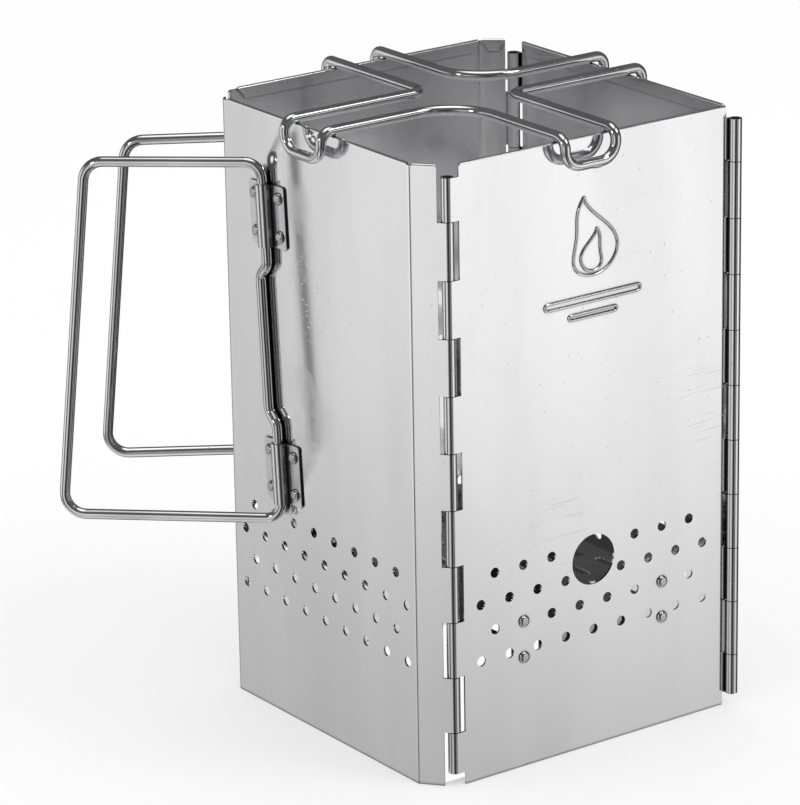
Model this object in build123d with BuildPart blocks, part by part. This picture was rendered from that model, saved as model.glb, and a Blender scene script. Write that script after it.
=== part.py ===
"""Folding rocket stove: four hinged sheet panels, two wire handles, a wire pot support and two grates.

Units are millimetres, +Z is up, and the right front panel (the one with the round opening) faces
-Y. Pieces are drawn round the centre of the open body at floor level. They are saved in a frame
whose origin is the middle of the whole stove's outline on the floor. The four panels are traced
anticlockwise seen from above, so the inside of the body is always on the left of the line.
"""
import os
from math import atan2, asin, cos, hypot, radians, sin, sqrt, tan

from build123d import *

os.makedirs("parts", exist_ok=True)

# Middle of the whole stove's outline, handles included, from the centre of the open body
outline_middle = (-33.45, 31.37)

# Body
side = 174.0
height = 300.0
sheet = 1.0
bend_radius = 2.5
half = side / 2
inner_face = half - sheet

# Hinges: sheet rolled round a pin, in eleven rows, the first and last shorter
pin_radius = 2.0
pin_play = 0.05
open_pivot_play = 0.3
roll_inner = pin_radius + pin_play
roll_outer = roll_inner + sheet
left_offset = 8.0
front_bend = 14.0
relief = 4.2
hinge_end_gap = 6.0
hinge_rows = 11
row_gap = 0.4
end_row = 20.7
pin_recess = 1.6
pin_round = 0.4
strip_overlap = 0.2

left_pin = (-half + left_offset, half - left_offset)
front_pin = (-half + left_offset + roll_inner + roll_outer, -half + roll_outer)
right_pin = (half + roll_inner, -half - roll_inner)
rear_pin = (half - roll_outer, half - left_offset - roll_inner - roll_outer)

# Folded rim
hem_height = 6.0
hem_slant = 4.0
hem_from_bend = 4.0
hem_inset = 1.0
flange_hem_start = 1.5
flange_hem_end = 0.3

# Vent holes in four staggered rows
vent_radius = 2.5
vent_pitch = 16.5
vent_row_pitch = 14.0
vent_low = 59.0
vent_rows = 4
vent_columns = (8, 9)
vent_centre = 6.0
round_opening_radius = 12.5
feed_width = 96.0
feed_low = 79.0
feed_high = 155.0
feed_corner = 8.0

# Wire handles, described in a frame whose axis is the pivot
wire_radius = 2.5
wire_gap = 0.3
handle_pivot_from_middle = 35.0
handle_pivot_height = 188.0
handle_lean = 3.3
handle_open_angle = 41.0
handle_top = 88.5
handle_bottom = -85.5
handle_reach_top = 86.0
handle_reach_bottom = 109.0
handle_corner = 10.0
handle_inner_corner = 8.0
handle_nesting = 6.2
jog_offset = 6.0
jog_half_length = 39.0
jog_slope = 6.0
jog_bend = 5.0

# Saddle brackets of the handles
saddle_half_width = 14.2
saddle_length = 30.0
saddle_from_middle = 63.0
saddle_play = 0.25
saddle_corner = 1.5
saddle_rivet_across = 9.7
saddle_rivet_along = 9.2
rivet_radius = 1.5
rivet_hole_play = 0.05
rivet_head_radius = 2.9
rivet_head_height = 1.6
rivet_head_round = 1.5
rivet_foot_radius = 2.4
rivet_foot_height = 0.8

# Pot support, one closed wire
support_wire_radius = 2.5
support_gap = 0.2
arm_half_gap = 14.5
hook_out = 6.5
hook_drop = 11.0
tight_corner = 6.0
broad_corner = 26.0
hook_top_corner = 5.2
hook_bottom_corner = 8.4

# Grates
grate_height = 64.0
grate_rod_radius = 2.0
grate_rod_play = 0.05
grate_rod_gap = {"front": 0.35, "rear": 1.25}
grate_rod_overhang = 3.0
grate_sheet = 1.0
grate_reach = 76.0
grate_half_width = 56.0
grate_cut_from = 34.0
grate_cut_slope = 1.1
grate_bracket_x = 41.25
grate_bracket_width = 12.0
grate_bracket_half_length = 13.0
grate_rivet_half_gap = 9.0
grate_curl_half_length = 31.0
grate_notch_half_width = 8.5
grate_notch_depth = 16.0
grate_heel = 9.4
grate_slot_length = 16.0
grate_slot_width = 5.0
grate_slot_pitch = 17.0
grate_slot_rows = 3
grate_slot_row_pitch = 22.0
grate_slot_stagger = 4.0
grate_slot_margin = 12.0


def save(part, name):
    """Writes a finished piece, moved from the body's centre to the stove's own origin."""
    moved = part.moved(Location((-outline_middle[0], -outline_middle[1], 0)))
    moved.label = name
    export_step(moved, f"parts/{name}.step")


def unit(start, end):
    """Direction of the line from start to end in the plan view."""
    length = hypot(end[0] - start[0], end[1] - start[1])
    return ((end[0] - start[0]) / length, (end[1] - start[1]) / length)


def along(point, direction, distance):
    """Point moved by a distance in a plan direction."""
    return (point[0] + direction[0] * distance, point[1] + direction[1] * distance)


def left_of(direction):
    """Plan direction a quarter turn anticlockwise of the given one."""
    return (-direction[1], direction[0])


def tangent_direction(bend, pin, turn):
    """Direction from pin back to bend along the sheet that is tangent to the rolled barrel."""
    distance = hypot(pin[0] - bend[0], pin[1] - bend[1])
    heading = atan2(pin[1] - bend[1], pin[0] - bend[0]) + turn * asin(roll_outer / distance)
    return (-cos(heading), -sin(heading))


def sheet_end(pin, direction, sheet_side, distance):
    """Point on the outer face of a sheet, at a distance from the pin along the sheet."""
    offset = left_of(direction)
    return along(along(pin, direction, distance), offset, sheet_side * roll_outer)


def hinge_levels():
    """Bottom and top of each of the hinge rows."""
    middle_row = (height - 2 * hinge_end_gap - 2 * end_row) / (hinge_rows - 2)
    levels = []
    bottom = hinge_end_gap
    for row in range(hinge_rows):
        tall = end_row if row in (0, hinge_rows - 1) else middle_row
        levels.append((bottom, bottom + tall))
        bottom += tall
    return levels


levels = hinge_levels()
odd_rows = levels[0::2]
even_rows = levels[1::2]
corner_45 = sqrt(0.5)

# Directions from each pin along the sheets that it joins, and the side of the pin they pass
front_left_bend = (-half, -half + front_bend)
rear_left_bend = (half - front_bend, half)
front_flange = tangent_direction(front_left_bend, front_pin, -1)
rear_flange = tangent_direction(rear_left_bend, rear_pin, 1)
chamfer_down = (-corner_45, -corner_45)
chamfer_up = (corner_45, corner_45)
chamfer = 2 * left_offset - roll_outer / corner_45
left_front_chamfer = (-half, half - chamfer)
left_rear_chamfer = (-half + chamfer, half)


def knuckles(pin, direction, sheet_side, rows, play=0.0):
    """Rolled hinge rows: a strip of sheet that runs to the pin and wraps round it."""
    for bottom, top in rows:
        plane = Plane(
            origin=(pin[0], pin[1], bottom + row_gap / 2),
            x_dir=(direction[0], direction[1], 0),
            z_dir=(0, 0, 1),
        )
        with BuildSketch(plane) as row:
            Circle(roll_outer)
            with Locations((relief / 2, sheet_side * (roll_inner + roll_outer) / 2)):
                Rectangle(relief + strip_overlap, sheet)
            Circle(roll_inner + play, mode=Mode.SUBTRACT)
        extrude(row.sketch, amount=top - bottom - row_gap)


def bent_sheet(points):
    """Vertical sheet whose outer face follows the points, with the inside on their left."""
    with BuildSketch() as section:
        with BuildLine():
            if len(points) > 2:
                FilletPolyline(*points, radius=bend_radius)
            else:
                Line(*points)
            offset(amount=sheet, side=Side.LEFT)
        make_face()
    extrude(section.sketch, amount=height - sheet)


def hem(start, end):
    """Rim folded inwards over a straight stretch of sheet, with slanted ends."""
    length = hypot(end[0] - start[0], end[1] - start[1])
    run = unit(start, end)
    inward = left_of(run)
    foot = height - hem_height
    roll_plane = Plane(
        origin=(start[0], start[1], foot),
        x_dir=(inward[0], inward[1], 0),
        z_dir=(run[0], run[1], 0),
    )
    with BuildSketch(roll_plane) as roll:
        with Locations((sheet, hem_height - sheet)):
            Circle(sheet)
        with Locations((sheet / 2, (hem_height - sheet) / 2)):
            Rectangle(sheet, hem_height - sheet)
    extrude(roll.sketch, amount=length)
    slant = min(hem_slant, length / 4)
    flap_plane = Plane(
        origin=(start[0], start[1], foot),
        x_dir=(run[0], run[1], 0),
        z_dir=(-inward[0], -inward[1], 0),
    )
    with BuildSketch(flap_plane) as flap:
        with BuildLine():
            Polyline(
                (0, hem_height - sheet),
                (length, hem_height - sheet),
                (length - slant, 0),
                (slant, 0),
                close=True,
            )
        make_face()
    extrude(flap.sketch, amount=-2 * sheet)


def wall_plane(name, at_height):
    """Plane on a panel's outer face: X along the panel, Y up, Z outwards."""
    faces = {
        "left_front": ((-half, 0), (0, -1)),
        "right_front": ((0, -half), (1, 0)),
        "right_rear": ((half, 0), (0, 1)),
        "left_rear": ((0, half), (-1, 0)),
    }
    centre, run = faces[name]
    inward = left_of(run)
    return Plane(
        origin=(centre[0], centre[1], at_height),
        x_dir=(run[0], run[1], 0),
        z_dir=(-inward[0], -inward[1], 0),
    )


def vents(name, shift, left_out=()):
    """Staggered vent holes; left_out lists the (row, column) places that have none."""
    top_row = vent_low + (vent_rows - 1) * vent_row_pitch
    with BuildSketch(wall_plane(name, top_row)) as pattern:
        for row in range(vent_rows):
            columns = vent_columns[row % 2]
            for column in range(columns):
                if (row, column) in left_out:
                    continue
                across = shift + (column - (columns - 1) / 2) * vent_pitch
                with Locations((across, -row * vent_row_pitch)):
                    Circle(vent_radius)
    extrude(pattern.sketch, amount=-3 * sheet, mode=Mode.SUBTRACT)


def handle_plane(name):
    """Frame of a handle: origin on the pivot, Z along it, X along the panel towards the left hinge."""
    lean = radians(handle_lean)
    stand_off = half + wire_radius + wire_gap
    middle = handle_pivot_from_middle
    if name == "front":
        origin = (-stand_off, middle, handle_pivot_height)
        return Plane(origin=origin, x_dir=(0, cos(lean), -sin(lean)), z_dir=(0, sin(lean), cos(lean)))
    origin = (-middle, stand_off, handle_pivot_height)
    return Plane(origin=origin, x_dir=(-cos(lean), 0, -sin(lean)), z_dir=(-sin(lean), 0, cos(lean)))


def outward_sign(name):
    """+1 where the frame's Y axis points away from the body."""
    return 1 if name == "front" else -1


def saddle_levels(name):
    """Heights of a handle's two saddles along its pivot; the nested handle has them closer."""
    shift = saddle_from_middle if name == "front" else saddle_from_middle - handle_nesting
    return (-shift, shift)


def handle_rivet_places(name):
    """Rivet positions (across, along the pivot) of both saddles of a handle."""
    places = []
    for centre in saddle_levels(name):
        for across in (-saddle_rivet_across, saddle_rivet_across):
            for lengthways in (-saddle_rivet_along, saddle_rivet_along):
                places.append((across, centre + lengthways))
    return places


def handle_face_plane(name):
    """Plane on the panel's outer face under a handle: X along the panel, Y along the pivot."""
    frame = handle_plane(name)
    out = frame.y_dir * outward_sign(name)
    origin = frame.origin - out * (wire_radius + wire_gap)
    x_dir = frame.z_dir.cross(out)
    return Plane(origin=origin, x_dir=x_dir, z_dir=out)


def rivet_holes(plane, places):
    """Holes through a panel for rivets at places given in the plane of its outer face."""
    with BuildSketch(plane) as holes:
        with Locations(*places):
            Circle(rivet_radius + rivet_hole_play)
    extrude(holes.sketch, amount=-3 * sheet, mode=Mode.SUBTRACT)


def grate_rivet_places():
    """Rivet positions of both brackets of a grate, in the wall plane at the rod's height."""
    return [
        (across, level)
        for across in (-grate_bracket_x, grate_bracket_x)
        for level in (-grate_rivet_half_gap, grate_rivet_half_gap)
    ]


# Panels
front_end = sheet_end(front_pin, front_flange, 1, relief)
left_front_end = sheet_end(left_pin, chamfer_down, -1, relief)
with BuildPart() as left_front_panel:
    bent_sheet([left_front_end, left_front_chamfer, front_left_bend, front_end])
    hem(along(left_front_chamfer, (0, -1), hem_from_bend), along(front_left_bend, (0, 1), hem_from_bend / 2))
    flange_start = along(front_left_bend, front_flange, -flange_hem_start)
    hem(flange_start, along(front_end, front_flange, flange_hem_end))
    knuckles(left_pin, chamfer_down, -1, even_rows)
    knuckles(front_pin, front_flange, 1, even_rows)
    vents("left_front", 0.0)
    rivet_holes(handle_face_plane("front"), handle_rivet_places("front"))
save(left_front_panel.part, "left_front_panel")

round_opening_level = vent_low + 2.5 * vent_row_pitch
right_front_left_out = {(0, 3), (0, 4), (1, 4), (2, 1), (2, 6)}
with BuildPart() as right_front_panel:
    front_edge = (front_pin[0] + relief, -half)
    right_edge = (right_pin[0] - relief, -half)
    bent_sheet([front_edge, right_edge])
    hem(along(front_edge, (1, 0), hem_inset), along(right_edge, (-1, 0), hem_inset))
    knuckles(front_pin, (1, 0), -1, odd_rows)
    knuckles(right_pin, (-1, 0), -1, odd_rows)
    vents("right_front", vent_centre, right_front_left_out)
    with BuildSketch(wall_plane("right_front", round_opening_level)):
        with Locations((vent_centre, 0)):
            Circle(round_opening_radius)
    extrude(amount=-3 * sheet, mode=Mode.SUBTRACT)
    places = [(vent_centre + across, level) for across, level in grate_rivet_places()]
    rivet_holes(wall_plane("right_front", grate_height), places)
save(right_front_panel.part, "right_front_panel")

with BuildPart() as right_rear_panel:
    right_end = (half, right_pin[1] + relief)
    rear_end = (half, rear_pin[1] - relief)
    bent_sheet([right_end, rear_end])
    hem(along(right_end, (0, 1), hem_inset), along(rear_end, (0, -1), hem_inset))
    knuckles(right_pin, (0, 1), 1, even_rows)
    knuckles(rear_pin, (0, -1), 1, odd_rows, open_pivot_play)
    with BuildSketch(wall_plane("right_rear", (feed_low + feed_high) / 2)):
        with Locations((-vent_centre, 0)):
            RectangleRounded(feed_width, feed_high - feed_low, feed_corner)
    extrude(amount=-3 * sheet, mode=Mode.SUBTRACT)
    above_feed = {(row, column) for row in (0, 1) for column in range(max(vent_columns))}
    vents("right_rear", -vent_centre, above_feed)
save(right_rear_panel.part, "right_rear_panel")

rear_end = sheet_end(rear_pin, rear_flange, -1, relief)
left_rear_end = sheet_end(left_pin, chamfer_up, 1, relief)
with BuildPart() as left_rear_panel:
    bent_sheet([rear_end, rear_left_bend, left_rear_chamfer, left_rear_end])
    hem(along(rear_left_bend, (-1, 0), hem_from_bend / 2), along(left_rear_chamfer, (1, 0), hem_from_bend))
    flange_start = along(rear_left_bend, rear_flange, -flange_hem_start)
    hem(along(rear_end, rear_flange, flange_hem_end), flange_start)
    knuckles(rear_pin, rear_flange, -1, even_rows)
    knuckles(left_pin, chamfer_up, 1, odd_rows)
    vents("left_rear", 0.0, {(2, 1), (2, 6)})
    rivet_holes(handle_face_plane("rear"), handle_rivet_places("rear"))
    rivet_holes(wall_plane("left_rear", grate_height), grate_rivet_places())
save(left_rear_panel.part, "left_rear_panel")

# Hinge pins
pins = {
    "front_hinge_pin": front_pin,
    "right_hinge_pin": right_pin,
    "rear_hinge_pin": rear_pin,
    "left_hinge_pin": left_pin,
}
for pin_name, pin_place in pins.items():
    with BuildPart() as hinge_pin:
        with BuildSketch(Plane.XY.offset(hinge_end_gap + pin_recess)):
            with Locations(pin_place):
                Circle(pin_radius)
        extrude(amount=height - 2 * hinge_end_gap - 2 * pin_recess)
        ends = hinge_pin.edges().filter_by(GeomType.CIRCLE)
        fillet(ends, pin_round)
    save(hinge_pin.part, pin_name)


def rounded_loop(corners, radii):
    """Closed run of straight wires joined by arcs; each corner has its own radius."""
    count = len(corners)
    starts = []
    ends = []
    middles = []
    for index in range(count):
        here = Vector(*corners[index])
        back = (Vector(*corners[index - 1]) - here).normalized()
        on = (Vector(*corners[(index + 1) % count]) - here).normalized()
        opening = radians(back.get_angle(on)) / 2
        radius = radii[index]
        cut = radius / tan(opening)
        bisector = (back + on).normalized()
        starts.append(here + back * cut)
        ends.append(here + on * cut)
        middles.append(here + bisector * (radius / sin(opening) - radius))
    for index in range(count):
        ThreePointArc(starts[index], middles[index], ends[index])
        Line(ends[index], starts[(index + 1) % count])


# Handles
def wire_handle(name, smaller):
    """One closed wire: two bars, an outer bar, and a pivot leg with a jog that rests on the panel."""
    frame = handle_plane(name)
    out = outward_sign(name)
    opening = radians(handle_open_angle)

    def place(reach, level, angle):
        return frame.from_local_coords(Vector(reach * cos(angle), out * reach * sin(angle), level))

    top = handle_top - smaller
    bottom = handle_bottom + smaller
    corners = [
        place(0, top, opening),
        place(handle_reach_top - smaller, top, opening),
        place(handle_reach_bottom - smaller, bottom, opening),
        place(0, bottom, opening),
        place(0, -jog_half_length, 0),
        place(jog_offset, -jog_half_length + jog_slope, 0),
        place(jog_offset, jog_half_length - jog_slope, 0),
        place(0, jog_half_length, 0),
    ]
    bends = [handle_inner_corner, handle_corner, handle_corner, handle_inner_corner] + [jog_bend] * 4
    with BuildPart() as handle:
        with BuildLine() as path:
            rounded_loop([tuple(corner) for corner in corners], bends)
        start = path.wire() @ 0
        heading = path.wire() % 0
        with BuildSketch(Plane(origin=start, z_dir=heading)):
            Circle(wire_radius)
        sweep(path=path.wire())
    return handle


front_handle = wire_handle("front", 0.0)
save(front_handle.part, "front_handle")

rear_handle = wire_handle("rear", handle_nesting)
save(rear_handle.part, "rear_handle")


def saddle(plane, axis_height, bore, width, length, rivets):
    """Sheet bracket with a half-round hump over a wire; plane Y runs along the wire."""
    section = Plane(
        origin=plane.from_local_coords(Vector(0, -length / 2, 0)),
        x_dir=plane.x_dir * -1,
        z_dir=plane.y_dir,
    )
    with BuildPart() as bracket:
        with BuildSketch(section):
            with Locations((0, sheet / 2)):
                Rectangle(2 * width, sheet)
            with Locations((0, axis_height / 2)):
                Rectangle(2 * (bore + sheet), axis_height)
            with Locations((0, axis_height)):
                Circle(bore + sheet)
                Circle(bore, mode=Mode.SUBTRACT)
            with Locations((0, axis_height / 2)):
                Rectangle(2 * bore, axis_height, mode=Mode.SUBTRACT)
            with Locations((0, -axis_height)):
                Rectangle(2 * width, 2 * axis_height, mode=Mode.SUBTRACT)
        extrude(amount=length)
        upright = bracket.edges().filter_by(Axis(plane.origin, plane.z_dir))
        fillet(upright.sort_by_distance(plane.origin)[-4:], saddle_corner)
        with BuildSketch(plane):
            with Locations(*rivets):
                Circle(rivet_radius + rivet_hole_play)
        extrude(amount=2 * sheet, mode=Mode.SUBTRACT)
    return bracket


saddle_rivets = [
    (across, lengthways)
    for across in (-saddle_rivet_across, saddle_rivet_across)
    for lengthways in (-saddle_rivet_along, saddle_rivet_along)
]
for handle_name in ("front", "rear"):
    face_plane = handle_face_plane(handle_name)
    for position, shift in zip(("lower", "upper"), saddle_levels(handle_name)):
        moved = Plane(
            origin=face_plane.from_local_coords(Vector(0, shift, 0)),
            x_dir=face_plane.x_dir,
            z_dir=face_plane.z_dir,
        )
        bracket = saddle(
            moved,
            wire_radius + wire_gap,
            wire_radius + saddle_play,
            saddle_half_width,
            saddle_length,
            saddle_rivets,
        )
        bracket_name = f"{handle_name}_handle_{position}_bracket"
        save(bracket.part, bracket_name)


def rivets(plane, places, base, depth):
    """Group of domed rivets: heads at a base height over the plane, feet behind the far sheet."""
    with BuildPart() as group:
        with BuildSketch(plane.offset(depth)):
            with Locations(*places):
                Circle(rivet_radius)
        extrude(amount=base - depth)
        with BuildSketch(plane.offset(base)):
            with Locations(*places):
                Circle(rivet_head_radius)
        extrude(amount=rivet_head_height)
        heads = group.edges().filter_by(GeomType.CIRCLE).filter_by(
            lambda edge: abs(plane.to_local_coords(edge.arc_center).Z - base - rivet_head_height) < 0.01
        )
        fillet(heads, rivet_head_round)
        with BuildSketch(plane.offset(depth - rivet_foot_height)):
            with Locations(*places):
                Circle(rivet_foot_radius)
        extrude(amount=rivet_foot_height)
    return group


for handle_name in ("front", "rear"):
    group = rivets(handle_face_plane(handle_name), handle_rivet_places(handle_name), sheet, -sheet)
    group_name = f"{handle_name}_handle_rivets"
    save(group.part, group_name)

# Pot support: one closed wire that crosses the mouth and hooks over each rim
support_level = height + support_wire_radius + support_gap
hook_reach = half + hook_out
hook_level = height - hook_drop


def arm(direction):
    """Corners of one arm from its right-hand inner corner round the hook to the left-hand one."""
    run = Vector(direction[0], direction[1], 0)
    across = Vector(-direction[1], direction[0], 0)
    up = Vector(0, 0, 1)
    points = []
    for edge in (-1, 1):
        wire = across * (edge * arm_half_gap)
        rim = wire + run * hook_reach
        points.append([rim + up * support_level, rim + up * hook_level])
    return points[0] + points[1][::-1]


with BuildPart() as pot_support:
    loop_corners = []
    loop_radii = []
    inner_radius = {0: tight_corner, 1: broad_corner, 2: tight_corner, 3: broad_corner}
    headings = [(0, -1), (1, 0), (0, 1), (-1, 0)]
    for index, heading in enumerate(headings):
        loop_corners += arm(heading)
        loop_radii += [hook_top_corner, hook_bottom_corner, hook_bottom_corner, hook_top_corner]
        following = headings[(index + 1) % 4]
        inner = Vector(
            (heading[0] + following[0]) * arm_half_gap,
            (heading[1] + following[1]) * arm_half_gap,
            support_level,
        )
        loop_corners.append(inner)
        loop_radii.append(inner_radius[index])
    with BuildLine() as support_path:
        rounded_loop([tuple(corner) for corner in loop_corners], loop_radii)
    support_wire = support_path.wire()
    with BuildSketch(Plane(origin=support_wire @ 0, z_dir=support_wire % 0)):
        Circle(support_wire_radius)
    sweep(path=support_wire)
save(pot_support.part, "pot_support")

# Grates: a plate curled round a rod, held in two brackets on the inside of a panel
grate_curl_inner = grate_rod_radius + grate_rod_play
grate_curl_outer = grate_curl_inner + grate_sheet


def axis_depth(name):
    """Distance of a grate's rod from the inner face of its panel."""
    return grate_curl_outer + grate_rod_gap[name]


def grate_frame(name):
    """Frame on the rod: X along the panel away from the hinge that closes, Y inwards, Z up."""
    depth = inner_face - axis_depth(name)
    if name == "front":
        return Plane(origin=(vent_centre, -depth, grate_height), x_dir=(1, 0, 0), z_dir=(0, 0, 1))
    return Plane(origin=(0, depth, grate_height), x_dir=(-1, 0, 0), z_dir=(0, 0, 1))


def grate_outline():
    """Plan outline of a plate; the corner on the side of the closing hinge is cut off."""
    cut_across = (grate_reach - grate_cut_from) / grate_cut_slope
    return [
        (-grate_half_width, 0),
        (-grate_half_width, grate_cut_from),
        (-grate_half_width + cut_across, grate_reach),
        (grate_half_width, grate_reach),
        (grate_half_width, 0),
    ]


def grate_slots():
    """Centres of the slots: staggered rows, kept clear of the cut corner."""
    places = []
    for row in range(grate_slot_rows):
        level = (row + 1) * grate_slot_row_pitch
        past_cut = max(0, level + grate_slot_length / 2 - grate_cut_from)
        nearest = -grate_half_width + grate_slot_margin + past_cut / grate_cut_slope
        for column in range(-3, 3):
            across = (column + 0.5) * grate_slot_pitch + (row % 2) * grate_slot_stagger
            if across >= nearest:
                places.append((across, level))
    return places


for grate_name in ("front", "rear"):
    frame = grate_frame(grate_name)
    grate_axis_depth = axis_depth(grate_name)
    plate_plane = Plane(
        origin=frame.origin + frame.z_dir * grate_curl_inner,
        x_dir=frame.x_dir,
        z_dir=frame.z_dir,
    )
    side_plane = Plane(
        origin=frame.from_local_coords(Vector(-grate_curl_half_length, 0, 0)),
        x_dir=frame.y_dir,
        z_dir=frame.x_dir,
    )
    with BuildPart() as grate:
        with BuildSketch(plate_plane):
            with BuildLine():
                Polyline(*grate_outline(), close=True)
            make_face()
            for bracket_side in (-grate_bracket_x, grate_bracket_x):
                with Locations((bracket_side, 0)):
                    Rectangle(2 * grate_notch_half_width, 2 * grate_notch_depth, mode=Mode.SUBTRACT)
            with Locations(*grate_slots()):
                SlotOverall(grate_slot_length, grate_slot_width, rotation=90, mode=Mode.SUBTRACT)
        extrude(amount=grate_sheet)
        with BuildSketch(side_plane):
            Circle(grate_curl_outer)
            with Locations((-(grate_curl_inner + grate_curl_outer) / 2, -grate_heel / 2)):
                Rectangle(grate_sheet, grate_heel)
            Circle(grate_curl_inner, mode=Mode.SUBTRACT)
        extrude(amount=2 * grate_curl_half_length)
    label = f"{grate_name}_grate"
    save(grate.part, label)

    with BuildPart() as rod:
        rod_half = grate_bracket_x + grate_bracket_width / 2 + grate_rod_overhang
        with BuildSketch(side_plane.offset(grate_curl_half_length - rod_half)):
            Circle(grate_rod_radius)
        extrude(amount=2 * rod_half)
    label = f"{grate_name}_grate_rod"
    save(rod.part, label)

    wall_back = Plane(
        origin=frame.origin - frame.y_dir * grate_axis_depth,
        x_dir=frame.z_dir,
        z_dir=frame.y_dir,
    )
    for bracket_side, place_name in ((-grate_bracket_x, "left"), (grate_bracket_x, "right")):
        centre = frame.origin - frame.y_dir * grate_axis_depth + frame.x_dir * bracket_side
        seat = Plane(origin=centre, x_dir=wall_back.x_dir, z_dir=wall_back.z_dir)
        bracket = saddle(
            seat,
            grate_axis_depth,
            grate_rod_radius + saddle_play,
            grate_bracket_half_length,
            grate_bracket_width,
            [(-grate_rivet_half_gap, 0), (grate_rivet_half_gap, 0)],
        )
        label = f"{grate_name}_grate_{place_name}_bracket"
        save(bracket.part, label)

    outer = wall_plane("right_front" if grate_name == "front" else "left_rear", grate_height)
    shift = vent_centre if grate_name == "front" else 0.0
    places = [(across + shift, level) for across, level in grate_rivet_places()]
    group = rivets(outer, places, 0.0, -2 * sheet)
    label = f"{grate_name}_grate_rivets"
    save(group.part, label)
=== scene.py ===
"""Folding rocket stove in bright stainless sheet and wire, standing open on a pale studio floor."""

import bpy
import numpy as np
from mathutils import Matrix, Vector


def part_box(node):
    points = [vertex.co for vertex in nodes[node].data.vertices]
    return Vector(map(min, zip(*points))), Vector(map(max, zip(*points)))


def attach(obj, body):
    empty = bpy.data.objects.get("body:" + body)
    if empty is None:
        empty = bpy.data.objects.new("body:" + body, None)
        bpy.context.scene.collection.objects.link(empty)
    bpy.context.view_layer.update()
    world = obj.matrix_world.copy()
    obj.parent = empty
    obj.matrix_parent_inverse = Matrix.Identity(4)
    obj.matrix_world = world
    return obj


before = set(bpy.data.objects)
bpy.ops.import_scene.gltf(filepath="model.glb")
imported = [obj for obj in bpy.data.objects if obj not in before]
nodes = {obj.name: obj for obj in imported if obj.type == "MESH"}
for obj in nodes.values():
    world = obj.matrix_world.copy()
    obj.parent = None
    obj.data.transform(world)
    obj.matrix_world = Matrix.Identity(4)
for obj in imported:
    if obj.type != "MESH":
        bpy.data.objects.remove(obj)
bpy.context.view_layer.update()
body_centre = np.array([0.03345, -0.03137])


# ---------------------------------------------------------------------------
# Body panels
# Four panels pressed from 1 mm bright rolled stainless sheet. Their rims are folded in, and their
# upright edges are cut into strips that are rolled round the hinge pins.
def new_group(name, inputs, outputs):
    """Shader node group with named float or vector sockets; returns it with its two end nodes."""
    group = bpy.data.node_groups.new(name, "ShaderNodeTree")
    for label, kind, value in inputs:
        socket = group.interface.new_socket(label, in_out="INPUT", socket_type=kind)
        if value is not None:
            socket.default_value = value
    for label in outputs:
        group.interface.new_socket(label, in_out="OUTPUT", socket_type="NodeSocketFloat")
    return group, group.nodes.new("NodeGroupInput"), group.nodes.new("NodeGroupOutput")


def math_node(tree, operation, first, second=None, clamp=False):
    """One Math node; each operand is a number or a socket. Returns its output."""
    node = tree.nodes.new("ShaderNodeMath")
    node.operation = operation
    node.use_clamp = clamp
    for socket, operand in zip(node.inputs, (first, second)):
        if operand is None:
            continue
        if isinstance(operand, (int, float)):
            socket.default_value = operand
        else:
            tree.links.new(operand, socket)
    return node.outputs[0]


def stretched_noise(tree, vector, scale, detail, roughness=0.5):
    """Noise over a vector that is first scaled per axis, so its grain can run one way."""
    mapping = tree.nodes.new("ShaderNodeMapping")
    mapping.inputs["Scale"].default_value = scale
    tree.links.new(vector, mapping.inputs["Vector"])
    noise = tree.nodes.new("ShaderNodeTexNoise")
    noise.inputs["Scale"].default_value = 1.0
    noise.inputs["Detail"].default_value = detail
    noise.inputs["Roughness"].default_value = roughness
    tree.links.new(mapping.outputs["Vector"], noise.inputs["Vector"])
    return noise.outputs["Fac"]


def smooth_step(tree, value, low, high):
    """0 below low, 1 above high, with a smooth rise between them."""
    node = tree.nodes.new("ShaderNodeMapRange")
    node.interpolation_type = "SMOOTHSTEP"
    node.inputs["From Min"].default_value = low
    node.inputs["From Max"].default_value = high
    tree.links.new(value, node.inputs["Value"])
    return node.outputs["Result"]


# Rolling marks: long fine lines left by the mill rolls, over broad shallow ripples of the sheet
rolling, rolling_in, rolling_out = new_group(
    "rolling_marks", [("Vector", "NodeSocketVector", None)], ["Lines", "Ripple", "Tone"]
)
lines = stretched_noise(rolling, rolling_in.outputs["Vector"], (900.0, 900.0, 9.0), 3.0)
ripple = stretched_noise(rolling, rolling_in.outputs["Vector"], (9.0, 9.0, 5.0), 1.0)
tone = stretched_noise(rolling, rolling_in.outputs["Vector"], (22.0, 22.0, 4.0), 3.0)
rolling.links.new(lines, rolling_out.inputs["Lines"])
rolling.links.new(ripple, rolling_out.inputs["Ripple"])
rolling.links.new(tone, rolling_out.inputs["Tone"])

# Handling marks: cloudy patches of fingerprints, with specks of dust and a few short scratches
handling, handling_in, handling_out = new_group(
    "handling_marks", [("Vector", "NodeSocketVector", None)], ["Haze", "Specks", "Scratches"]
)
patches = stretched_noise(handling, handling_in.outputs["Vector"], (28.0, 28.0, 24.0), 4.0, 0.6)
ridges = stretched_noise(handling, handling_in.outputs["Vector"], (1400.0, 1400.0, 700.0), 1.0)
haze = math_node(handling, "MULTIPLY", smooth_step(handling, patches, 0.52, 0.68), ridges)
dots = stretched_noise(handling, handling_in.outputs["Vector"], (620.0, 620.0, 620.0), 1.0)
specks = smooth_step(handling, dots, 0.74, 0.80)
hairs = stretched_noise(handling, handling_in.outputs["Vector"], (60.0, 240.0, 900.0), 0.0)
sparse = stretched_noise(handling, handling_in.outputs["Vector"], (14.0, 14.0, 14.0), 1.0)
scratches = math_node(
    handling, "MULTIPLY", smooth_step(handling, hairs, 0.70, 0.74), smooth_step(handling, sparse, 0.55, 0.65)
)
handling.links.new(haze, handling_out.inputs["Haze"])
handling.links.new(specks, handling_out.inputs["Specks"])
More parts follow.
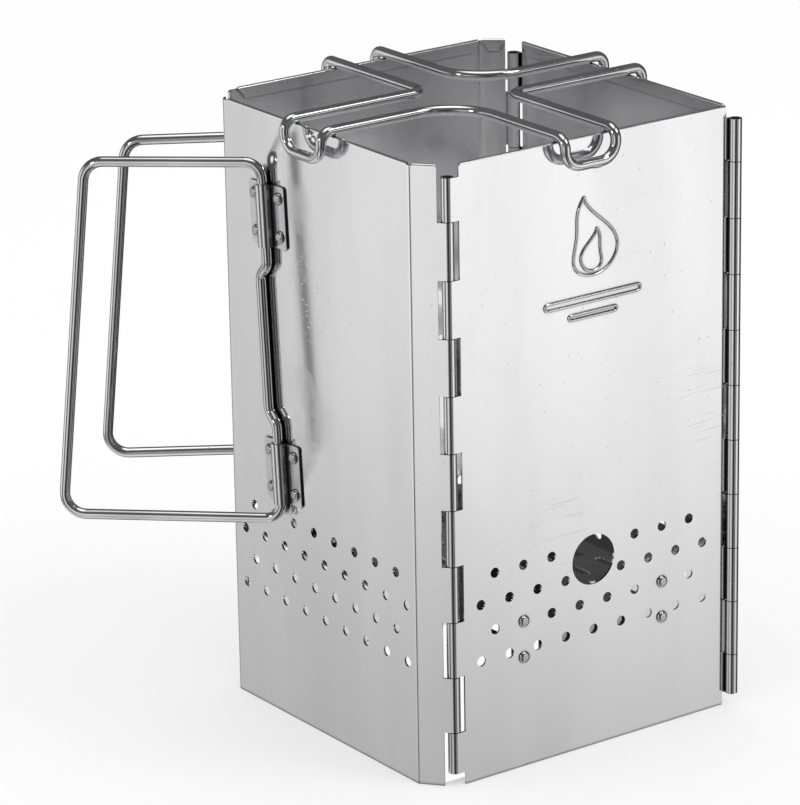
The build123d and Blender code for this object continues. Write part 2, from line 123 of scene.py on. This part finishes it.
handling.links.new(scratches, handling_out.inputs["Scratches"])

# Edge wear: a bright burnished band at the rims, broken up where hands and pots rub it
wear, wear_in, wear_out = new_group(
    "edge_wear",
    [
        ("Vector", "NodeSocketVector", None),
        ("Top", "NodeSocketFloat", 0.300),
        ("Bottom", "NodeSocketFloat", 0.0),
        ("Width", "NodeSocketFloat", 0.002),
    ],
    ["Wear"],
)
split = wear.nodes.new("ShaderNodeSeparateXYZ")
wear.links.new(wear_in.outputs["Vector"], split.inputs[0])
to_top = math_node(wear, "SUBTRACT", wear_in.outputs["Top"], split.outputs["Z"])
to_bottom = math_node(wear, "SUBTRACT", split.outputs["Z"], wear_in.outputs["Bottom"])
nearest = math_node(wear, "ABSOLUTE", math_node(wear, "MINIMUM", to_top, to_bottom))
share = math_node(wear, "DIVIDE", nearest, wear_in.outputs["Width"])
band = math_node(wear, "SUBTRACT", 1.0, share, clamp=True)
rubbed = stretched_noise(wear, wear_in.outputs["Vector"], (120.0, 120.0, 300.0), 3.0)
broken = smooth_step(wear, rubbed, 0.35, 0.6)
wear.links.new(math_node(wear, "MULTIPLY", band, broken), wear_out.inputs["Wear"])

# How much each mark roughens or darkens the steel, and the colour of the painted shade in its folds
haze_roughness = 0.10
speck_roughness = 0.25
scratch_roughness = 0.12
wear_roughness = 0.05
speck_darkening = 0.5
crevice_shade_colour = (0.10, 0.10, 0.10, 1.0)
bump_distance = 0.001
panel_rims = (0.300, 0.0)


def steel(name, bright, dull, roughness, line_depth, ripple_depth, rims=panel_rims, crevice_depth=0.0):
    """Bare stainless steel: tone and gloss from rolling marks, handling marks and edge wear.

    The colour runs from dull to bright with the sheet's tone and the worn rims, the roughness is
    0.75 to 1.25 times the given one plus each mark's share, and the bump is the sum of the lines,
    the ripple and the scratches. With a crevice_depth, painted shade darkens the folds narrower than that.
    """
    material = bpy.data.materials.new(name)
    material.use_nodes = True
    tree = material.node_tree
    shader = tree.nodes["Principled BSDF"]
    shader.inputs["Metallic"].default_value = 1.0
    place = tree.nodes.new("ShaderNodeTexCoord").outputs["Object"]
    used = {}
    for group in (rolling, handling, wear):
        node = tree.nodes.new("ShaderNodeGroup")
        node.node_tree = group
        tree.links.new(place, node.inputs["Vector"])
        used[group.name] = node
    used["edge_wear"].inputs["Top"].default_value = rims[0]
    used["edge_wear"].inputs["Bottom"].default_value = rims[1]
    marks = used["rolling_marks"].outputs
    touched = used["handling_marks"].outputs
    worn = used["edge_wear"].outputs["Wear"]

    colour = tree.nodes.new("ShaderNodeMix")
    colour.data_type = "RGBA"
    colour.inputs["A"].default_value = (*dull, 1.0)
    colour.inputs["B"].default_value = (*bright, 1.0)
    lift = math_node(tree, "ADD", smooth_step(tree, marks["Tone"], 0.3, 0.7), worn, clamp=True)
    spots = math_node(tree, "MULTIPLY", touched["Specks"], speck_darkening)
    lift = math_node(tree, "SUBTRACT", lift, spots, clamp=True)
    tree.links.new(lift, colour.inputs["Factor"])

    base = colour.outputs["Result"]
    # Painted shade: ambient occlusion darkens the colour in folds and at contacts narrower than
    # crevice_depth, where shade falls
    if crevice_depth > 0:
        crevice = tree.nodes.new("ShaderNodeAmbientOcclusion")
        crevice.samples = 16
        crevice.inputs["Distance"].default_value = crevice_depth
        painted_shade_mix = tree.nodes.new("ShaderNodeMix")
        painted_shade_mix.data_type = "RGBA"
        painted_shade_mix.inputs["A"].default_value = crevice_shade_colour
        tree.links.new(smooth_step(tree, crevice.outputs["AO"], 0.40, 1.00), painted_shade_mix.inputs["Factor"])
        tree.links.new(base, painted_shade_mix.inputs["B"])
        base = painted_shade_mix.outputs["Result"]
    tree.links.new(base, shader.inputs["Base Color"])

    gloss = math_node(tree, "MULTIPLY_ADD", marks["Lines"], roughness * 0.5)
    gloss.node.inputs[2].default_value = roughness * 0.75
    for mark, share in (
        (touched["Haze"], haze_roughness),
        (touched["Specks"], speck_roughness),
        (touched["Scratches"], scratch_roughness),
        (worn, wear_roughness),
    ):
        gloss = math_node(tree, "ADD", gloss, math_node(tree, "MULTIPLY", mark, share), clamp=True)
    tree.links.new(gloss, shader.inputs["Roughness"])

    height = math_node(tree, "MULTIPLY", marks["Lines"], line_depth)
    height = math_node(tree, "ADD", height, math_node(tree, "MULTIPLY", marks["Ripple"], ripple_depth))
    scored = math_node(tree, "MULTIPLY", touched["Scratches"], line_depth * 2)
    height = math_node(tree, "SUBTRACT", height, scored)
    bump = tree.nodes.new("ShaderNodeBump")
    bump.inputs["Strength"].default_value = 1.0
    bump.inputs["Distance"].default_value = bump_distance
    tree.links.new(height, bump.inputs["Height"])
    tree.links.new(bump.outputs["Normal"], shader.inputs["Normal"])
    return material


def dress(names, material):
    """Puts a material in every slot of the parts with these names."""
    for name in names:
        for slot in nodes[name].material_slots:
            slot.material = material


# Width of the folds and contacts that get painted shade
crevice_shade_depth = 0.0022
panel_steel = steel(
    "rolled_sheet_steel",
    (0.90, 0.90, 0.905),
    (0.82, 0.82, 0.83),
    roughness=0.09,
    line_depth=0.0015,
    ripple_depth=0.22,
    crevice_depth=crevice_shade_depth,
)
dress(["left_front_panel", "right_front_panel", "right_rear_panel", "left_rear_panel"], panel_steel)


# ---------------------------------------------------------------------------
# Pressed flame
# A plain flame outline with a smaller one inside it and two short bars below, pressed outwards from
# the back of the right front panel, so each line is a low rounded ridge in the sheet.
ridge_half_width = 0.0007
ridge_height = 0.0009
body_half = 0.087
panel_shift = 0.006
face_y = body_centre[1] - body_half
flame_x = body_centre[0] + panel_shift
flame_z = 0.2525
inner_flame_drop = 0.0070
long_bar_drop = 0.0300
short_bar_drop = 0.0375


def signed_volume(mesh):
    """Volume inside a closed mesh: the sum of a.(b x c)/6 over its triangles."""
    mesh.calc_loop_triangles()
    corners = np.empty(len(mesh.loop_triangles) * 3, dtype=np.int32)
    mesh.loop_triangles.foreach_get("vertices", corners)
    points = np.empty(len(mesh.vertices) * 3)
    mesh.vertices.foreach_get("co", points)
    a, b, c = np.moveaxis(points.reshape(-1, 3)[corners.reshape(-1, 3)], 1, 0)
    return float((a * np.cross(b, c)).sum() / 6)


def grid_mesh(name, grid, closed_u):
    """Mesh object from a grid of points (u, v, 3); v closes on itself, u does too or is capped."""
    rows, columns = grid.shape[:2]
    index = np.arange(rows * columns).reshape(rows, columns)
    following = np.roll(index, -1, axis=0) if closed_u else index[1:]
    current = index if closed_u else index[:-1]
    quads = np.stack([current, np.roll(current, -1, 1), np.roll(following, -1, 1), following], axis=-1)
    faces = quads.reshape(-1, 4).tolist()
    if not closed_u:
        faces += [index[0][::-1].tolist(), index[-1].tolist()]
    mesh = bpy.data.meshes.new(name)
    mesh.from_pydata(grid.reshape(-1, 3).tolist(), [], faces)
    mesh.update()
    if signed_volume(mesh) < 0:
        mesh.flip_normals()
    mesh.polygons.foreach_set("use_smooth", np.ones(len(mesh.polygons), dtype=bool))
    piece = bpy.data.objects.new(name, mesh)
    bpy.context.scene.collection.objects.link(piece)
    return piece


def ridge(name, x, z, steps=16):
    """Closed ridge on the panel's outer face: a low ellipse carried along the closed path (x, z).

    At path parameter u and section angle v the point is the path point plus the path's unit normal
    times half_width*cos(v), and it stands ridge_height*sin(v) proud of the face.
    """
    along_x = np.roll(x, -1) - np.roll(x, 1)
    along_z = np.roll(z, -1) - np.roll(z, 1)
    length = np.hypot(along_x, along_z)
    normal_x, normal_z = along_z / length, -along_x / length
    v = np.linspace(0, 2 * np.pi, steps, endpoint=False)
    across = ridge_half_width * np.cos(v)[None, :]
    grid = np.stack(
        [
            x[:, None] + normal_x[:, None] * across,
            np.broadcast_to(face_y - ridge_height * np.sin(v)[None, :], (len(x), steps)),
            z[:, None] + normal_z[:, None] * across,
        ],
        axis=-1,
    )
    return grid_mesh(name, grid, closed_u=True)


def flame_path(half_width, half_height, lean, centre, count=160):
    """Teardrop x = w*sin(a)*sin(a/2)^1.5, z = h*cos(a), whose tip leans over with the height."""
    a = np.linspace(0.12, 2 * np.pi - 0.12, count)
    x = half_width * np.sin(a) * np.abs(np.sin(a / 2)) ** 1.5
    z = half_height * np.cos(a)
    rise = (z / half_height + 1) / 2
    return centre[0] + x + lean * np.sin(1.7 * np.pi * rise) * rise, centre[1] + z


def bar_path(half_length, radius, centre, count=96):
    """Stadium outline, walked at even speed: two straight runs joined by half circles."""
    run = 2 * (half_length - radius)
    bend = np.pi * radius
    s = np.arange(count) / count * 2 * (run + bend)
    back = s >= run + bend
    s = np.where(back, s - run - bend, s)
    turn = np.clip(s - run, 0, None) / radius
    x = np.minimum(s, run) - run / 2 + radius * np.sin(turn)
    z = -radius * np.cos(turn)
    sign = np.where(back, -1.0, 1.0)
    return centre[0] + sign * x, centre[1] + sign * z


flame_outlines = {
    "pressed_flame": flame_path(0.0180, 0.0190, 0.0060, (flame_x, flame_z)),
    "pressed_inner_flame": flame_path(0.0085, 0.0100, -0.0030, (flame_x, flame_z - inner_flame_drop)),
    "pressed_long_bar": bar_path(0.0280, 0.0016, (flame_x, flame_z - long_bar_drop)),
    "pressed_short_bar": bar_path(0.0140, 0.0012, (flame_x, flame_z - short_bar_drop)),
}
for name, outline in flame_outlines.items():
    piece = ridge(name, *outline)
    piece.data.materials.append(panel_steel)
    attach(piece, "right_front")


# ---------------------------------------------------------------------------
# Hinge pins
# Four straight pins of drawn stainless wire, 4 mm thick, that the strips of two panels are rolled
# round. They are cut a little shorter than the panels, with their ends just rounded.
pin_steel = steel(
    "drawn_pin_steel",
    (0.62, 0.62, 0.63),
    (0.48, 0.48, 0.49),
    roughness=0.22,
    line_depth=0.010,
    ripple_depth=0.02,
)
dress(["front_hinge_pin", "right_hinge_pin", "rear_hinge_pin", "left_hinge_pin"], pin_steel)


# ---------------------------------------------------------------------------
# Wire handles and pot support
# Two handle loops and a cross-shaped pot support of round stainless wire, 5 mm thick. The wire is
# bent cold in a jig, butt welded into a closed loop and polished; the support's weld still shows.
wire_steel = steel(
    "polished_wire_steel",
    (0.76, 0.76, 0.77),
    (0.62, 0.62, 0.63),
    roughness=0.10,
    line_depth=0.002,
    ripple_depth=0.02,
    rims=(0.306, 0.285),
)
dress(["front_handle", "rear_handle", "pot_support"], wire_steel)


def butt_weld(name, middle, length, radius, rise, rows=40, steps=32):
    """Bead where a wire's ends meet, on a straight run along X.

    At u from 0 to 1 along the bead and angle v round it, the radius is the given one, and on the
    lower half it is more by rise*sin(pi*u)^0.6*(-sin v)^1.5, times 1 + 0.22*sin(18*pi*u + 1.5*sin 3v)
    for the ripples.
    """
    u = np.linspace(0.0, 1.0, rows)[:, None]
    v = np.linspace(0.0, 2 * np.pi, steps, endpoint=False)[None, :]
    swell = np.sin(np.pi * u) ** 0.6 * np.clip(-np.sin(v), 0.0, 1.0) ** 1.5
    ripples = 1.0 + 0.22 * np.sin(18 * np.pi * u + 1.5 * np.sin(3 * v))
    r = radius + rise * swell * ripples
    x = np.broadcast_to(middle[0] + length * (u - 0.5), r.shape)
    bead = np.stack([x, middle[1] + r * np.cos(v), middle[2] + r * np.sin(v)], axis=-1)
    return grid_mesh(name, bead, closed_u=False)


wire_radius = 0.0025
weld_sink = 0.00001
weld_length = 0.0056
weld_rise = 0.00042
weld_off_centre = 0.0032
support_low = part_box("pot_support")[0]
weld_middle = (body_centre[0] + weld_off_centre, support_low[1] + wire_radius, support_low[2] + wire_radius)
support_weld = butt_weld("pot_support_weld", weld_middle, weld_length, wire_radius - weld_sink, weld_rise)
support_weld.data.materials.append(wire_steel)
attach(support_weld, "support")


# ---------------------------------------------------------------------------
# Brackets and rivets
# Saddles pressed from 1 mm sheet hold the handle wires, and small ones hold the grates' rods. All
# are fixed by solid domed rivets set through the panel.
bracket_steel = steel(
    "pressed_bracket_steel",
    (0.80, 0.80, 0.81),
    (0.68, 0.68, 0.69),
    roughness=0.15,
    line_depth=0.006,
    ripple_depth=0.10,
    crevice_depth=crevice_shade_depth,
)
for end in ("front", "rear"):
    dress([f"{end}_handle_{level}_bracket" for level in ("upper", "lower")], bracket_steel)
    dress([f"{end}_grate_{hand}_bracket" for hand in ("left", "right")], bracket_steel)
rivet_steel = steel(
    "rivet_steel",
    (0.60, 0.60, 0.61),
    (0.46, 0.46, 0.47),
    roughness=0.13,
    line_depth=0.004,
    ripple_depth=0.03,
    crevice_depth=crevice_shade_depth,
)
dress(["front_handle_rivets", "rear_handle_rivets", "front_grate_rivets", "rear_grate_rivets"], rivet_steel)


# ---------------------------------------------------------------------------
# Grates and their rods
# Two slotted plates of 1 mm sheet that hold the wood, each with one edge curled round a rod that
# turns in two small brackets. They sit in the fire. Their steel is set darker and duller than the panels'.
grate_steel = steel(
    "plain_grate_steel",
    (0.46, 0.46, 0.47),
    (0.32, 0.32, 0.33),
    roughness=0.20,
    line_depth=0.004,
    ripple_depth=0.20,
)
dress(["front_grate", "rear_grate"], grate_steel)
dress(["front_grate_rod", "rear_grate_rod"], pin_steel)


# ---------------------------------------------------------------------------
# Studio
# A plain white floor, a soft box above, and a surrounding light tent whose white and grey walls are
# what the polished steel mirrors.
floor_half = 6.0
floor_drop = 0.0002
floor_glow = 0.50
square = np.array([(-1, -1), (1, -1), (1, 1), (-1, 1)])


def flat_square(name, half, centre, height):
    """Level square facing up: the corners are the centre plus half times (+-1, +-1)."""
    corners = square * half + centre
    mesh = bpy.data.meshes.new(name)
    mesh.from_pydata([(*corner, height) for corner in corners.tolist()], [], [(0, 1, 2, 3)])
    piece = bpy.data.objects.new(name, mesh)
    bpy.context.scene.collection.objects.link(piece)
    return piece


floor = flat_square("floor", floor_half, (0.0, 0.0), -floor_drop)
floor_paint = bpy.data.materials.new("floor_paint")
floor_paint.use_nodes = True
floor_tree = floor_paint.node_tree
floor_shader = floor_tree.nodes["Principled BSDF"]
floor_shader.inputs["Roughness"].default_value = 0.9
floor_shader.inputs["Specular IOR Level"].default_value = 0.0
floor_shader.inputs["Emission Color"].default_value = (1.0, 1.0, 1.0, 1.0)
floor_shader.inputs["Emission Strength"].default_value = floor_glow
floor_place = floor_tree.nodes.new("ShaderNodeTexCoord").outputs["Object"]
floor_colour = floor_tree.nodes.new("ShaderNodeMix")
floor_colour.data_type = "RGBA"
floor_colour.inputs["A"].default_value = (0.46, 0.46, 0.46, 1.0)
floor_colour.inputs["B"].default_value = (0.48, 0.48, 0.48, 1.0)
floor_cloud = stretched_noise(floor_tree, floor_place, (3.0, 3.0, 3.0), 2.0)
floor_tree.links.new(floor_cloud, floor_colour.inputs["Factor"])
floor_tree.links.new(floor_colour.outputs["Result"], floor_shader.inputs["Base Color"])
floor.data.materials.append(floor_paint)
floor.visible_glossy = False

card_half = 0.080


def inner_card(name, height, seen_by_camera, glow, mottle):
    """Square card of painted light and shade inside the body, which casts no shadow. Its upper side glows,
    its underside is black.

    The glow at each point is glow + mottle*(noise - 0.5).
    """
    card = flat_square(name, card_half, body_centre, height)
    card_light_material = bpy.data.materials.new(name)
    card_light_material.use_nodes = True
    tree = card_light_material.node_tree
    shader = tree.nodes["Principled BSDF"]
    shader.inputs["Base Color"].default_value = (0.0, 0.0, 0.0, 1.0)
    shader.inputs["Specular IOR Level"].default_value = 0.0
    shader.inputs["Emission Color"].default_value = (1.0, 1.0, 1.0, 1.0)
    upper = math_node(tree, "SUBTRACT", 1.0, tree.nodes.new("ShaderNodeNewGeometry").outputs["Backfacing"])
    place = tree.nodes.new("ShaderNodeTexCoord").outputs["Object"]
    cloud = math_node(tree, "MULTIPLY", stretched_noise(tree, place, (26.0, 26.0, 26.0), 1.0), mottle)
    level = math_node(tree, "MULTIPLY", upper, math_node(tree, "ADD", cloud, glow - mottle / 2))
    tree.links.new(level, shader.inputs["Emission Strength"])
    card.data.materials.append(card_light_material)
    card.visible_camera = seen_by_camera
    card.visible_glossy = not seen_by_camera
    card.visible_diffuse = False
    card.visible_shadow = False


# A glowing white card on the floor paints light over the shade under the body and shows through the holes. A
# glowing grey one above the grates is only mirrored: it paints the reflections in the inner walls, and its
# black underside paints shade below it
inner_card("under_body_light_card", 0.0001, True, 0.98, 0.0)
# Painted reflection and shade: this card glows grey in the inner walls' reflections, and its black underside
# blocks the light from below
inner_card("inner_wall_reflection_card", 0.1500, False, 0.46, 0.8)

world = bpy.data.worlds.new("light_tent")
bpy.context.scene.world = world
world.use_nodes = True
tent = world.node_tree
tent_shader = tent.nodes["Background"]
tent_shader.inputs["Color"].default_value = (1.0, 1.0, 1.0, 1.0)
direction = tent.nodes.new("ShaderNodeTexCoord").outputs["Generated"]
flattened = tent.nodes.new("ShaderNodeVectorMath")
flattened.operation = "MULTIPLY"
flattened.inputs[1].default_value = (1.0, 1.0, 0.0)
tent.links.new(direction, flattened.inputs[0])
compass = tent.nodes.new("ShaderNodeVectorMath")
compass.operation = "NORMALIZE"
tent.links.new(flattened.outputs["Vector"], compass.inputs[0])


def tent_cloth(under, towards, aim, inner, outer, brightness):
    """Lays a soft-edged patch of one brightness over the tent.

    It is full inside the inner angle from the aim, in degrees, and gone past the outer one: the
    mask is a smooth step of the cosine of the angle between the direction and the aim.
    """
    dot = tent.nodes.new("ShaderNodeVectorMath")
    dot.operation = "DOT_PRODUCT"
    dot.inputs[1].default_value = aim
    tent.links.new(towards, dot.inputs[0])
    edge, full = np.cos(np.radians([outer, inner])).tolist()
    mask = smooth_step(tent, dot.outputs["Value"], edge, full)
    mix = tent.nodes.new("ShaderNodeMix")
    mix.data_type = "FLOAT"
    tent.links.new(mask, mix.inputs["Factor"])
    if isinstance(under, float):
        mix.inputs["A"].default_value = under
    else:
        tent.links.new(under, mix.inputs["A"])
    mix.inputs["B"].default_value = brightness
    return mix.outputs["Result"]


def strip(under, bearing, inner, outer, brightness):
    """Upright strip of cloth at a bearing in degrees, anticlockwise from +X."""
    turned = np.radians(bearing)
    aim = (float(np.cos(turned)), float(np.sin(turned)), 0.0)
    return tent_cloth(under, compass.outputs["Vector"], aim, inner, outer, brightness)


# The tent from the back layer to the front one: white strips, the grey and white floor cloths, dark
# strips, the dark upper wall and the soft box in the roof
straight_up = (0.0, 0.0, 1.0)
straight_down = (0.0, 0.0, -1.0)
ambient_light = 0.98
tent_light = 0.40
for bearing, inner, outer, brightness in (
    (141, 6, 24, 1.00),
    (-57, 9, 19, 1.03),
    (-156, 6, 13, 0.86),
):
    tent_light = strip(tent_light, bearing, inner, outer, brightness)
tent_light = tent_cloth(tent_light, direction, straight_down, 62, 74, 0.36)
tent_light = tent_cloth(tent_light, direction, straight_down, 42, 60, 0.85)
for bearing, inner, outer, brightness in (
    (174, 3, 9, 0.03),
    (-118, 14, 22, 0.04),
    (-86, 3, 8, 0.06),
    (-2, 20, 32, 0.04),
    (62, 18, 34, 0.03),
):
    tent_light = strip(tent_light, bearing, inner, outer, brightness)
tent_light = tent_cloth(tent_light, direction, straight_up, 66, 86, 0.12)
tent_light = tent_cloth(tent_light, direction, straight_up, 14, 30, 1.60)
glossy = tent.nodes.new("ShaderNodeLightPath").outputs["Is Glossy Ray"]
blend = tent.nodes.new("ShaderNodeMix")
blend.data_type = "FLOAT"
tent.links.new(glossy, blend.inputs["Factor"])
blend.inputs["A"].default_value = ambient_light
tent.links.new(tent_light, blend.inputs["B"])
tent.links.new(blend.outputs["Result"], tent_shader.inputs["Strength"])

lamp_aim = (0.0, 0.0, 0.15)
for name, place, size, power in (
    ("key_box", (0.9, -1.4, 1.9), 0.9, 9.0),
    ("side_strip", (-1.9, -0.1, 0.9), 0.25, 3.0),
):
    lamp = bpy.data.lights.new(name, "AREA")
    lamp.energy = power
    lamp.size = size
    lamp_object = bpy.data.objects.new(name, lamp)
    bpy.context.scene.collection.objects.link(lamp_object)
    back = np.array(place) - np.array(lamp_aim)
    back /= np.linalg.norm(back)
    side = np.cross(straight_up, back)
    side /= np.linalg.norm(side)
    up = np.cross(back, side)
    turn = Matrix(np.stack([side, up, back], axis=1).tolist()).to_4x4()
    lamp_object.matrix_world = Matrix.Translation(place) @ turn


# ---------------------------------------------------------------------------
# Camera
# A long lens 2.2 m away looks down at the corner between the two front panels, rolled by a degree.
# The heading is anticlockwise from +X, and the place is measured from the body's centre.
lens = 200.65
sensor = 36.0
camera_place = (body_centre[0] - 1.2127, body_centre[1] - 1.6304, 0.8439)
heading, dip, roll = np.radians([54.3067, 18.851, -0.9987])
camera = bpy.data.cameras.new("camera")
camera.lens = lens
camera.sensor_width = sensor
camera.clip_end = 50.0
camera_object = bpy.data.objects.new("camera", camera)
bpy.context.scene.collection.objects.link(camera_object)
look = np.array([np.cos(heading) * np.cos(dip), np.sin(heading) * np.cos(dip), -np.sin(dip)])
level = np.cross(look, straight_up)
level /= np.linalg.norm(level)
upright = np.cross(level, look)
right = np.cos(roll) * level + np.sin(roll) * upright
above = -np.sin(roll) * level + np.cos(roll) * upright
turn = Matrix(np.stack([right, above, -look], axis=1).tolist()).to_4x4()
camera_object.matrix_world = Matrix.Translation(camera_place) @ turn
bpy.context.scene.camera = camera_object
bpy.context.scene.view_settings.view_transform = "Standard"
